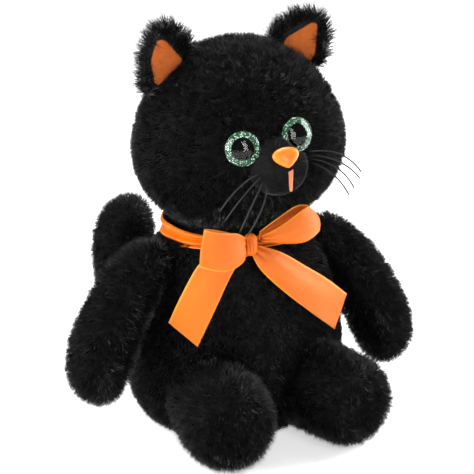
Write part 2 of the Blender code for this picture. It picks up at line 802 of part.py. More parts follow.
def leg_sockets(side, sign):
    """The leg's own form, a little larger, through its lift: what it needs cut from the torso."""
    frame, half = leg_place(sign)

    def form():
        return cage(leg_shape(half, -2 * GAP), 8, 8)

    return swept(f"leg_socket_{side}", form, frame, mirrored(HIP, sign), "X", LEG_LIFT)


def make_leg(side, sign):
    """A stub with a ball at the hip and a flat, furry sole."""
    hip = mirrored(HIP, sign)
    hinge = empty(f"hip_{side}", Matrix.Translation(hip), root)
    place, half = leg_place(sign)
    frame = Matrix.Translation(-hip) @ place
    seam = (0, 0, -half + SOLE_DEPTH)
    inside = inside_of(f"leg_inside_{side}", cage(leg_shape(half, WALL), 8, 8), hinge, frame)
    for name, way in (("leg_panel", 1), ("foot_sole", -1)):
        skin = cage(leg_shape(half, 0.0), 8, 8)
        panel(f"{name}_{side}", skin, ((seam, (0, 0, way)),), inside, hinge, FUR, frame)
    packed = cage(leg_shape(half, WALL + TUCK), 10, 8, smooth=False)
    add(f"leg_stuffing_{side}", packed, hinge, STUFFING, frame)


def leg_shape(half, inset):
    """The hip end is half a ball, so it turns in its socket. The sole end is blunt."""
    hip = half - HIP_RADIUS

    def shape(p, fullness):
        ring = max(math.hypot(p.x, p.y), 1e-6)
        if p.z >= 0:
            reach = (HIP_RADIUS * fullness - inset) * ring
            z = hip + (HIP_RADIUS * fullness - inset) * p.z
        else:
            widen = min(1.0, max(0.0, -2.2 * (p.z + 0.2)))
            radius = HIP_RADIUS + (FOOT_RADIUS - HIP_RADIUS) * widen
            reach = (radius * fullness - inset) * ring**SOLE_BLUNTNESS
            z = hip - (hip + half * (1 + 0.3 * (fullness - 1)) - inset) * abs(p.z) ** 0.8
        return Vector((p.x / ring * reach, p.y / ring * reach, z))

    return shape


def make_tail():
    hinge = empty("tail_hinge", Matrix.Translation(TAIL_ROOT), root)
    half = (TAIL_ROOT - TAIL_TIP).length / 2 + (TAIL_ROOT_RADIUS + TAIL_TIP_RADIUS) / 2
    drift = (TAIL_TIP_RADIUS - TAIL_ROOT_RADIUS) / 2
    frame = Matrix.Translation(-TAIL_ROOT) @ along(TAIL_ROOT, TAIL_TIP)
    frame = frame @ Matrix.Translation((0, 0, -drift))
    sizes = (half, TAIL_ROOT_RADIUS, TAIL_TIP_RADIUS)
    bow = (-TAIL_BOW, half)
    hollow = cage(limb_shape(*sizes, inset=WALL), 8, 6, bow=bow)
    inside = inside_of("tail_inside", hollow, hinge, frame)
    seats = torso_seats("tail_seat", TAIL_ROOT, "Y", TAIL_WAG)
    for face, way in HALVES.items():
        skin = cage(limb_shape(*sizes), 8, 6, bow=bow)
        half_plane = ((0, 0, 0), (0, way, 0))
        piece = panel(f"tail_{face}_panel", skin, (half_plane,), inside, hinge, FUR, frame)
        cut(piece, *seats)
    packed = cage(limb_shape(*sizes, inset=WALL + TUCK), 8, 8, smooth=False, bow=bow)
    cut(add("tail_stuffing", packed, hinge, STUFFING, frame), *seats)


# Ribbon


def strip(name, shape, parent, along_cells, across_cells=2):
    """A ribbon: a grid whose points, each coordinate from -1 to 1, are moved by shape."""
    bm = bmesh.new()
    bmesh.ops.create_grid(bm, x_segments=along_cells, y_segments=across_cells, size=1.0)
    for vertex in bm.verts:
        vertex.co = shape(vertex.co.x, vertex.co.y)
    obj = add(name, bm, parent, SATIN)
    thicken(obj, RIBBON, offset=0.0)
    return obj


def make_band():
    """A gathered band right round the neck, open by a hair's breadth behind the knot."""
    gap = 0.02
    start = math.atan2(KNOT.y - NECK.y, KNOT.x)

    def shape(s, t):
        angle = start + gap + (s + 1) * (math.pi - gap)
        flare = 1 - BAND_FLARE * t / BAND_HALF_WIDTH
        x = BAND_HALF_WIDTH * flare * math.cos(angle)
        y = BAND_HALF_DEPTH * flare * math.sin(angle) + NECK.y
        return Vector((x, y, BAND_Z + t * BAND_HEIGHT / 2))

    strip("neck_ribbon", shape, root, 32)


def make_knot():
    def shape(p, fullness):
        return Vector(KNOT_RADII[i] * fullness * p[i] for i in range(3))

    knot = add("bow_knot", cage(shape, 6, 6), root, SATIN, Matrix.Translation(KNOT))
    subdivide(knot)


def make_loop(side, sign):
    """The ribbon leaves the knot, turns at the loop's tip and comes back behind itself."""
    tip = LOOP_TIPS[side]
    axis = tip - KNOT
    length = axis.length
    axis.normalize()
    roll = Matrix.Rotation(math.radians(LOOP_ROLL[side]), 3, "Y")
    deep = axis.cross(roll @ Vector((0, 0, 1))).normalized() * -sign
    wide = deep.cross(axis).normalized()
    first = KNOT_RADII.x + 0.0016

    def shape(s, t):
        angle = (1 - abs(s)) * math.pi / 2
        reach = first + (length - first) * math.sin(angle)
        out = reach / length
        share = GATHERED + (1 - GATHERED) * min(1.0, (out - first / length) * 1.6)
        bulge = LOOP_BULGE * math.sin(math.pi * abs(s) ** 0.7) ** 0.8 + 0.0008
        bulge = bulge if abs(s) > 1e-6 else 0.0
        return KNOT + axis * reach + deep * math.copysign(bulge, s) + wide * t * share * RIBBON_WIDTH / 2

    strip(f"bow_loop_{side}", shape, root, 14)


def make_ribbon_tail(side, sign):
    hinge = empty(f"ribbon_hinge_{side}", Matrix.Translation(KNOT), root)
    low, high = (corner - KNOT for corner in TAIL_ENDS[side])
    drop = Vector((sign * 0.0035, -0.0018, -KNOT_RADII.z - 0.0016))
    across = (high - low).normalized() * RIBBON_WIDTH / 2
    end = (low + high) / 2

    def shape(s, t):
        u = (s + 1) / 2
        share = GATHERED + (1 - GATHERED) * min(1.0, 2.2 * u)
        middle = drop.lerp(end, u)
        level = Vector((RIBBON_WIDTH / 2, 0, 0)).lerp(across, min(1.0, 2.5 * u))
        arch = Vector((0, -TAIL_ARCH * math.sin(math.pi * u), 0))
        return middle + level * t * share + arch

    strip(f"ribbon_tail_{side}", shape, hinge, 10)


# Assembly

clear_scene()
parts = new_collection("plush_cat")
cutters = new_collection("cutters")
root = empty("torso", Matrix())
neck = empty("neck", Matrix.Translation(NECK), root)
head_rest = Matrix.Translation(HEAD_CENTRE - NECK) @ turned(HEAD_TILT)
head = empty("head", head_rest, neck)

floor_tool = floor_cutter("floor", 0.0)
neck_tool = as_cutter(ball("neck_socket", NECK, NECK_RADIUS + 2 * GAP))
make_torso(neck_tool, floor_tool)
ball("neck_stuffing", NECK, NECK_RADIUS)
make_head(neck_tool)
make_whiskers()
make_ears()
for arm_side, arm_sign in SIDES.items():
    make_arm(arm_side, arm_sign)
    make_leg(arm_side, arm_sign)
make_tail()
make_band()
make_knot()
for bow_side, bow_sign in SIDES.items():
    make_loop(bow_side, bow_sign)
    make_ribbon_tail(bow_side, bow_sign)
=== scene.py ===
"""Seated black plush cat with a satin bow: its looks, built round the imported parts, in metres."""

import json
import math
from functools import partial

import bmesh
import bpy
from mathutils import Matrix, Vector
from mathutils.bvhtree import BVHTree

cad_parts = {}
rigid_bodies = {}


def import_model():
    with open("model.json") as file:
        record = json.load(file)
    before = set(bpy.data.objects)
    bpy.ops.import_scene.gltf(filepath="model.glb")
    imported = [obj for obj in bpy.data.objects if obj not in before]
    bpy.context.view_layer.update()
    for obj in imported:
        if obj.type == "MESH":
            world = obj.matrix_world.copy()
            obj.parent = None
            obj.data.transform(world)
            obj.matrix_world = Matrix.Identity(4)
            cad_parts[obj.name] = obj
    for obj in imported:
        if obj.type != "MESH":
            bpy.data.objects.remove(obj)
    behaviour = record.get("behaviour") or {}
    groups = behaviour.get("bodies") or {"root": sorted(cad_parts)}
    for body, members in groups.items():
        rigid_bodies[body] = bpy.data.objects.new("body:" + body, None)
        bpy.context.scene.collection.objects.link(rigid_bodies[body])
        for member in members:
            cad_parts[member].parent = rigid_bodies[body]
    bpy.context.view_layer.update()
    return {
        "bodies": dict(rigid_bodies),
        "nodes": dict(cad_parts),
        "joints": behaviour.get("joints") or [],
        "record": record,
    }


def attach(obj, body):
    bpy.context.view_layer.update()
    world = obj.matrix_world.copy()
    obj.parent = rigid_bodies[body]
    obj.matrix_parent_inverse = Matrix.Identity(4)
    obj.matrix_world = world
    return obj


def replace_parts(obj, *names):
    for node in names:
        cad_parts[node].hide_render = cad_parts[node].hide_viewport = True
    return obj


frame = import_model()
SIDES = {"right": -1, "left": 1}

# Head, face and ribbon sizes, the same as the parts'
HEAD_CENTRE = Vector((0.002, -0.003, 0.1715))
HEAD_TILT = (-4.0, -4.0, -5.0)
HEAD_HALF = Vector((0.0607, 0.0510, 0.0507))
CHEEKS = 0.12
EYE_PLACES = {"right": (-0.0157, 0.0025), "left": (0.0160, 0.0049)}
EYE_RADIUS = 0.0096
PUPIL_RADIUS = 0.0061
EYE_DISC = 0.0010
EYE_DOME = 0.0042
EYE_PROUD = 0.0006
EYE_GAP = 0.0003
EYE_EDGE = 0.0003  # the rounding of the ring's and the pupil's rims
PUPIL_POST_RADIUS = 0.0015
PUPIL_POST_DEPTH = 0.011
DOME_STEPS = 18
LATHE_STEPS = 64
LATHE_SHARP = 35.0  # degrees
MUZZLE_CENTRE = Vector((0.003, -0.049, -0.0098))
MUZZLE_TILT = (0.0, -10.0, 0.0)
MUZZLE_HALF = Vector((0.0165, 0.0195, 0.0148))
NOSE_PLACE = (-0.0005, 0.0072)
NOSE_PITCH = 26.0
NOSE_ROLL = 8.0
NOSE_HALF = Vector((0.0070, 0.0034, 0.0056))
WHISKER_RADIUS = 0.00050
# Root, middle and tip from the head's centre, in millimetres, from the outer thread inwards
WHISKERS = {
    "right": (
        ((-12.8, -63.2, -9.3), (-25.0, -65.5, -13.5), (-36.0, -60.0, -26.7)),
        ((-12.2, -63.6, -11.3), (-23.0, -67.0, -17.5), (-34.5, -62.0, -32.1)),
        ((-11.0, -64.0, -13.3), (-19.0, -69.0, -21.5), (-27.5, -65.0, -38.7)),
        ((-9.8, -64.4, -15.3), (-15.0, -70.0, -25.5), (-24.0, -67.0, -40.7)),
    ),
    "left": (
        ((20.0, -57.0, -3.7), (35.0, -62.5, -6.5), (49.0, -58.5, -20.5)),
        ((20.2, -57.4, -5.5), (34.0, -64.0, -10.5), (47.0, -60.0, -23.0)),
        ((20.0, -57.8, -7.5), (32.0, -65.0, -13.5), (42.5, -61.5, -27.7)),
        ((19.8, -58.2, -9.5), (29.0, -66.0, -16.5), (38.8, -62.5, -30.7)),
    ),
}
KNOT = Vector((-0.0120, -0.0475, 0.1190))
KNOT_PLACE = Vector((-0.0140, -0.0515, 0.1215))
KNOT_HALF = Vector((0.0044, 0.0040, 0.0064))
TIP_ROUND = {"bow_loop_right": 0.6, "bow_loop_left": 3.0}
NECK_Y = -0.002
RIBBON_WIDTH = 0.0220
BAND_HALF = Vector((0.0414, 0.0385, 0.0060))
BAND_Z = 0.1180
BAND_RISE = -0.0010  # the band's height at the nape, against its height at the knot
BAND_GATHER = 0.0015  # the satin is crushed into this many lengthwise gathers of this depth
BAND_GATHERS = 2
BAND_OPENING = 0.02  # half the angle that the knot hides, in radians
# Each strip's two edges, in millimetres, from the knot outwards. A loop's edges come back to the knot.
STRIPS = {
    "bow_loop_right": (
        (
            (-18, -53, 126.5), (-26, -58.5, 132), (-37, -60, 134.5), (-44, -57, 136),
            (-39, -52.5, 134.5), (-27, -50, 130), (-17, -49.5, 125),
        ),
        (
            (-18, -53, 119), (-22, -59, 115), (-34, -61.5, 112), (-47.5, -59, 116),
            (-42, -54, 117), (-28, -51, 118), (-17, -49.5, 119),
        ),
    ),
    "bow_loop_left": (
        (
            (-7, -51.5, 125.5), (4, -53.5, 130.8), (16, -54, 137.8), (21.5, -51.5, 139),
            (14.5, -49.5, 139), (2, -48.5, 132), (-7, -49, 127),
        ),
        (
            (-7, -51.5, 122), (9, -54.5, 119.5), (20, -55, 119.8), (28.5, -52.5, 124),
            (23, -49, 124), (9, -47.5, 122), (-7, -48.5, 122),
        ),
    ),
    "ribbon_tail_right": (
        ((-15, -50, 118), (-33, -50, 119), (-43.5, -48.5, 114), (-51, -41.5, 95), (-56, -34, 76.5)),
        ((-13.5, -50, 114.5), (-19, -52.5, 114), (-26, -53.5, 107), (-35, -51, 87), (-44, -46.5, 64.5)),
    ),
    "ribbon_tail_left": (
        ((-8.5, -50.5, 120), (4, -53, 115), (20, -51, 104), (38, -46, 91), (54.5, -39, 77)),
        ((-12.5, -50.5, 115.5), (-9, -54, 107), (3, -55, 94), (22, -52, 77), (43.5, -45, 59)),
    ),
}
# The ribbon's own length in each strip, along its middle
STRIP_LENGTHS = {
    "bow_loop_right": 0.063,
    "bow_loop_left": 0.068,
    "ribbon_tail_right": 0.067,
    "ribbon_tail_left": 0.079,
}
# How far each strip bows across, in millimetres
STRIP_BOWS = {
    "bow_loop_right": 1.6,
    "bow_loop_left": 3.0,
    "ribbon_tail_right": 1.2,
    "ribbon_tail_left": 2.2,
}
RIBBON_THICKNESS = 0.0004
FLOOR_GAP = 0.0003  # the pile is pressed flat this far above the floor

# Camera and picture
VIEW_AZIMUTH = -26.0
VIEW_ELEVATION = 19.0
VIEW_DISTANCE = 1.0
VIEW_TARGET = Vector((-0.001, -0.008, 0.1105))
VIEW_LENS = 132.1
ROOM_LIGHT = 0.22
# Each softbox's place, size and power. All of them aim at the middle of the body.
SOFTBOX_AIM = (0.0, 0.0, 0.12)
SOFTBOXES = {
    "key": ((-0.15, -0.95, 0.75), (0.35, 0.35), 2.8),
    "left_side": ((-0.95, 0.05, 0.35), (0.5, 0.9), 19.0),
    "right_side": ((0.85, -0.10, 0.40), (0.5, 0.9), 15.0),
    "top": ((0.05, 0.35, 0.95), (0.6, 0.6), 14.0),
}
CATCHLIGHT_ON_EYE = (0.0011, 0.0016)
CATCHLIGHT_DISTANCE = 0.5
CATCHLIGHT_SIZE = (0.20, 0.30)
CATCHLIGHT_POWER = 1.6


# Small helpers


def turned(degrees):
    x, y, z = (math.radians(angle) for angle in degrees)
    return Matrix.Rotation(z, 4, "Z") @ Matrix.Rotation(y, 4, "Y") @ Matrix.Rotation(x, 4, "X")


def mesh_object(name, bm, material, smooth=True):
    """A finished mesh, its place in its vertices."""
    mesh = bpy.data.meshes.new(name)
    bmesh.ops.recalc_face_normals(bm, faces=bm.faces)
    bm.to_mesh(mesh)
    bm.free()
    obj = bpy.data.objects.new(name, mesh)
    bpy.context.scene.collection.objects.link(obj)
    if material:
        mesh.materials.append(material)
    if smooth:
        mesh.shade_smooth()
    return obj


def applied(obj):
    """The object with its modifiers made part of its mesh."""
    graph = bpy.context.evaluated_depsgraph_get()
    mesh = bpy.data.meshes.new_from_object(obj.evaluated_get(graph), depsgraph=graph)
    obj.modifiers.clear()
    old = obj.data
    obj.data = mesh
    bpy.data.meshes.remove(old)
    mesh.name = obj.name
    return obj


def nodes_joined(name, nodes):
    """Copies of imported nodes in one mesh, their loose triangles sewn together."""
    bm = bmesh.new()
    for node in nodes:
        bm.from_mesh(frame["nodes"][node].data)
    bmesh.ops.remove_doubles(bm, verts=bm.verts, dist=1e-6)
    return mesh_object(name, bm, None)


def biggest_island(obj):
    """Drops the bubbles that a remesh leaves between a panel and its stuffing."""
    bm = bmesh.new()
    bm.from_mesh(obj.data)
    left = set(bm.verts)
    best = set()
    while left:
        seed = left.pop()
        island = {seed}
        unvisited = [seed]
        while unvisited:
            vertex = unvisited.pop()
            for edge in vertex.link_edges:
                other = edge.other_vert(vertex)
                if other not in island:
                    island.add(other)
                    unvisited.append(other)
        left -= island
        if len(island) > len(best):
            best = island
    bmesh.ops.delete(bm, geom=[v for v in bm.verts if v not in best], context="VERTS")
    bm.to_mesh(obj.data)
    bm.free()


def soft_skin(name, nodes, material, voxel=0.0022, rounds=8):
    """One closed, rounded cloth form over a body's panels and stuffing."""
    obj = nodes_joined(name, nodes)
    remesh = obj.modifiers.new("Skin", "REMESH")
    remesh.mode = "VOXEL"
    remesh.voxel_size = voxel
    smooth = obj.modifiers.new("Round", "SMOOTH")
    smooth.factor = 0.5
    smooth.iterations = rounds
    applied(obj)
    biggest_island(obj)
    obj.data.materials.clear()
    obj.data.materials.append(material)
    obj.data.shade_smooth()
    return obj


# Shader helpers


class Shader:
    """A material being built: node() adds a node, link() joins two sockets."""

    def __init__(self, name, colour, roughness, **settings):
        self.material = bpy.data.materials.new(name)
        self.material.use_nodes = True
        self.tree = self.material.node_tree
        self.surface = self.tree.nodes["Principled BSDF"]
        self.put(self.surface, "Base Color", (*colour, 1.0))
        self.put(self.surface, "Roughness", roughness)
        for socket, value in settings.items():
            self.put(self.surface, socket.replace("_", " "), value)

    def put(self, node, socket, value):
        node.inputs[socket].default_value = value

    def node(self, kind, **values):
        made = self.tree.nodes.new("ShaderNode" + kind)
        for key, value in values.items():
            setattr(made, key, value)
        return made

    def link(self, start, end):
        self.tree.links.new(start, end)

    def place(self):
        return self.node("TexCoord").outputs["Object"]

    def noise(self, scale, detail=3.0, roughness=0.6, stretch=None):
        texture = self.node("TexNoise")
        self.put(texture, "Scale", scale)
        self.put(texture, "Detail", detail)
        self.put(texture, "Roughness", roughness)
        where = self.place()
        if stretch:
            mapping = self.node("Mapping")
            self.put(mapping, "Scale", stretch)
            self.link(where, mapping.inputs["Vector"])
            where = mapping.outputs["Vector"]
        self.link(where, texture.inputs["Vector"])
        return texture.outputs["Fac"]

    def ramp(self, fac, low, high, start=0.3, end=0.7):
        node = self.node("ValToRGB")
        node.color_ramp.elements[0].position = start
        node.color_ramp.elements[1].position = end
        node.color_ramp.elements[0].color = (*low, 1.0)
        node.color_ramp.elements[1].color = (*high, 1.0)
        self.link(fac, node.inputs["Fac"])
        return node.outputs["Color"]

    def span(self, fac, low, high):
        node = self.node("MapRange")
        self.put(node, "To Min", low)
        self.put(node, "To Max", high)
        self.link(fac, node.inputs["Value"])
        return node.outputs["Result"]

    def bump(self, height, distance, strength=1.0):
        node = self.node("Bump")
        self.put(node, "Distance", distance)
        self.put(node, "Strength", strength)
        self.link(height, node.inputs["Height"])
        self.link(node.outputs["Normal"], self.surface.inputs["Normal"])


def pile_material(name, deep, tip, roughness):
    """Long pile: each strand has its own random tone, and painted shade darkens it towards its root."""
    s = Shader(name, tip, roughness, Sheen_Weight=0.14, Sheen_Roughness=0.3, Specular_IOR_Level=0.04)
    shade = s.node("Attribute", attribute_name="strand_shade")
    along = s.node("Attribute", attribute_name="strand_along")
    # Random tone times height along the strand. The deep colour at the root end is painted shade, as from
    # deep in the pile.
    tone_and_root_shade = s.node("Math", operation="MULTIPLY")
    s.link(shade.outputs["Fac"], tone_and_root_shade.inputs[0])
    s.link(along.outputs["Fac"], tone_and_root_shade.inputs[1])
    s.link(s.ramp(tone_and_root_shade.outputs[0], deep, tip, 0.05, 0.8), s.surface.inputs["Base Color"])
    return s.material


def backing_material():
    s = Shader("pile_backing", (0.004, 0.004, 0.005), 0.95)
    grain = s.noise(900.0)
    s.link(s.ramp(grain, (0.002, 0.002, 0.0025), (0.007, 0.007, 0.008)), s.surface.inputs["Base Color"])
    s.bump(grain, 0.0006)
    return s.material


def felt_material():
    s = Shader("apricot_felt", (0.58, 0.12, 0.03), 0.95, Sheen_Weight=0.5, Sheen_Roughness=0.5)
    s.put(s.surface, "Sheen Tint", (1.0, 0.62, 0.36, 1.0))
    mottle = s.noise(260.0, 4.0, 0.7)
    s.link(s.ramp(mottle, (0.78, 0.17, 0.022), (0.98, 0.30, 0.05)), s.surface.inputs["Base Color"])
    s.bump(s.noise(1500.0, 4.0, 0.8), 0.0005)
    return s.material


def satin_material():
    """Warp-faced satin: long fine threads along the ribbon, a woven edge on each side."""
    s = Shader("orange_satin", (0.80, 0.17, 0.004), 0.36, Anisotropic=0.5, Specular_IOR_Level=0.22)
    uv = s.node("UVMap", uv_map="ribbon")
    mapping = s.node("Mapping")
    s.put(mapping, "Scale", (60.0, 900.0, 1.0))
    s.link(uv.outputs["UV"], mapping.inputs["Vector"])
    threads = s.node("TexNoise")
    s.put(threads, "Scale", 1.0)
    s.put(threads, "Detail", 2.0)
    s.link(mapping.outputs["Vector"], threads.inputs["Vector"])
    edge = s.node("Attribute", attribute_name="woven_edge")
    face = s.ramp(threads.outputs["Fac"], (0.60, 0.105, 0.0004), (0.76, 0.165, 0.001), 0.3, 0.75)
    mix = s.node("Mix", data_type="RGBA")
    s.link(edge.outputs["Fac"], mix.inputs["Factor"])
    s.link(face, mix.inputs[6])
    s.put(mix, 7, (0.88, 0.29, 0.02, 1.0))
    s.link(mix.outputs[2], s.surface.inputs["Base Color"])
    s.link(s.span(threads.outputs["Fac"], 0.26, 0.46), s.surface.inputs["Roughness"])
    s.bump(threads.outputs["Fac"], 0.00025, 0.5)
    return s.material


def thread_material():
    s = Shader("apricot_thread", (0.86, 0.25, 0.09), 0.5, Sheen_Weight=0.1)
    fibre = s.noise(2600.0, 2.0)
    s.link(s.ramp(fibre, (0.66, 0.12, 0.03), (0.84, 0.24, 0.075)), s.surface.inputs["Base Color"])
    s.bump(fibre, 0.0002)
    return s.material


def whisker_material():
    s = Shader("black_thread", (0.004, 0.004, 0.005), 0.55, Specular_IOR_Level=0.25)
    s.link(s.span(s.noise(1200.0), 0.45, 0.65), s.surface.inputs["Roughness"])
    return s.material


def nose_material():
    shine = dict(Coat_Weight=0.05, Specular_IOR_Level=0.3, Subsurface_Weight=0.08)
    s = Shader("orange_plastic", (0.86, 0.22, 0.01), 0.3, **shine)
    s.put(s.surface, "Coat Roughness", 0.15)
    s.put(s.surface, "Subsurface Scale", 0.003)
    haze = s.noise(420.0, 2.0)
    s.link(s.ramp(haze, (0.76, 0.16, 0.004), (0.86, 0.21, 0.008)), s.surface.inputs["Base Color"])
    s.link(s.span(haze, 0.34, 0.42), s.surface.inputs["Roughness"])
    return s.material


def pupil_material():
    s = Shader("black_plastic", (0.001, 0.001, 0.001), 0.3, Specular_IOR_Level=0.0)
    s.link(s.span(s.noise(500.0), 0.25, 0.35), s.surface.inputs["Roughness"])
    return s.material


def glitter_material():
    """Green flakes, each its own shade and tilt, with a few painted near white as painted glints."""
    s = Shader("green_glitter", (0.015, 0.20, 0.08), 0.4, Metallic=0.3)
    flakes = s.node("TexVoronoi")
    s.put(flakes, "Scale", 1900.0)
    s.link(s.place(), flakes.inputs["Vector"])
    split = s.node("SeparateColor")
    s.link(flakes.outputs["Color"], split.inputs["Color"])
    green = s.ramp(split.outputs["Red"], (0.0002, 0.006, 0.0025), (0.010, 0.15, 0.05), 0.1, 0.9)
    # Flakes picked by their random green channel get a pale base colour: painted glint, standing in for
    # flakes that catch a lamp.
    painted_glint = s.ramp(split.outputs["Green"], (0.0, 0.0, 0.0), (1.0, 1.0, 1.0), 0.84, 0.87)
    mix = s.node("Mix", data_type="RGBA")
    s.link(painted_glint, mix.inputs["Factor"])
    s.link(green, mix.inputs[6])
    s.put(mix, 7, (0.72, 1.0, 0.82, 1.0))
    s.link(mix.outputs[2], s.surface.inputs["Base Color"])
    s.link(s.span(split.outputs["Blue"], 0.3, 0.6), s.surface.inputs["Roughness"])
    s.bump(split.outputs["Blue"], 0.0003, 0.9)
    return s.material


def clear_material(name, gloss):
    """Clear plastic that mirrors with its coat, so a face laid on another piece can go without."""
    see_through = dict(IOR=1.015, Transmission_Weight=1.0)
    s = Shader(name, (1.0, 1.0, 1.0), 0.02, Coat_Weight=gloss, **see_through)
    s.put(s.surface, "Coat Roughness", 0.02)
    return s.material


def plain_material(name, colour, roughness, scale):
    """For what is sealed inside: a faint mottle on a plain colour."""
    s = Shader(name, colour, roughness)
    light = tuple(min(1.0, c * 1.15) for c in colour)
    dark = tuple(c * 0.85 for c in colour)
    s.link(s.ramp(s.noise(scale), dark, light), s.surface.inputs["Base Color"])
    return s.material


# Each pile's first colour is the painted shade at its strands' roots, the second its tips' colour.
FUR = pile_material("black_pile", (0.0003, 0.0003, 0.0004), (0.0046, 0.0046, 0.0051), 0.65)
VELOUR = pile_material("black_velour", (0.002, 0.002, 0.0024), (0.012, 0.012, 0.014), 0.7)
FELT_FUZZ = pile_material("apricot_fuzz", (0.76, 0.16, 0.022), (1.0, 0.31, 0.06), 0.8)
BACKING = backing_material()
FELT = felt_material()
SATIN = satin_material()
THREAD = thread_material()
WHISKER = whisker_material()
NOSE = nose_material()
PUPIL = pupil_material()
GLITTER = glitter_material()
CLEAR = clear_material("clear_plastic", 0.6)
CLEAR_BACK = clear_material("clear_plastic_back", 0.0)


# Pile


def blade_mesh():
    """One strand: a thin strip one unit long, curling over and tapering to its tip."""
    levels = ((0.0, 0.5, 0.0), (0.55, 0.38, 0.10), (1.0, 0.0, 0.34))
    bm = bmesh.new()
    layer = bm.verts.layers.float.new("strand_along")
    rows = []
    for height, half, curl in levels:
        row = []
        for side in (-1, 1) if half else (0,):
            vertex = bm.verts.new((side * half, curl, height))
            vertex[layer] = height
            row.append(vertex)
        rows.append(row)
    bm.faces.new((*rows[0], rows[1][1], rows[1][0]))
    bm.faces.new((*rows[1], rows[2][0]))
    mesh = bpy.data.meshes.new("strand")
    bm.to_mesh(mesh)
    bm.free()
    mesh.shade_smooth()
    obj = bpy.data.objects.new("strand", mesh)
    bpy.context.scene.collection.objects.link(obj)
    return obj


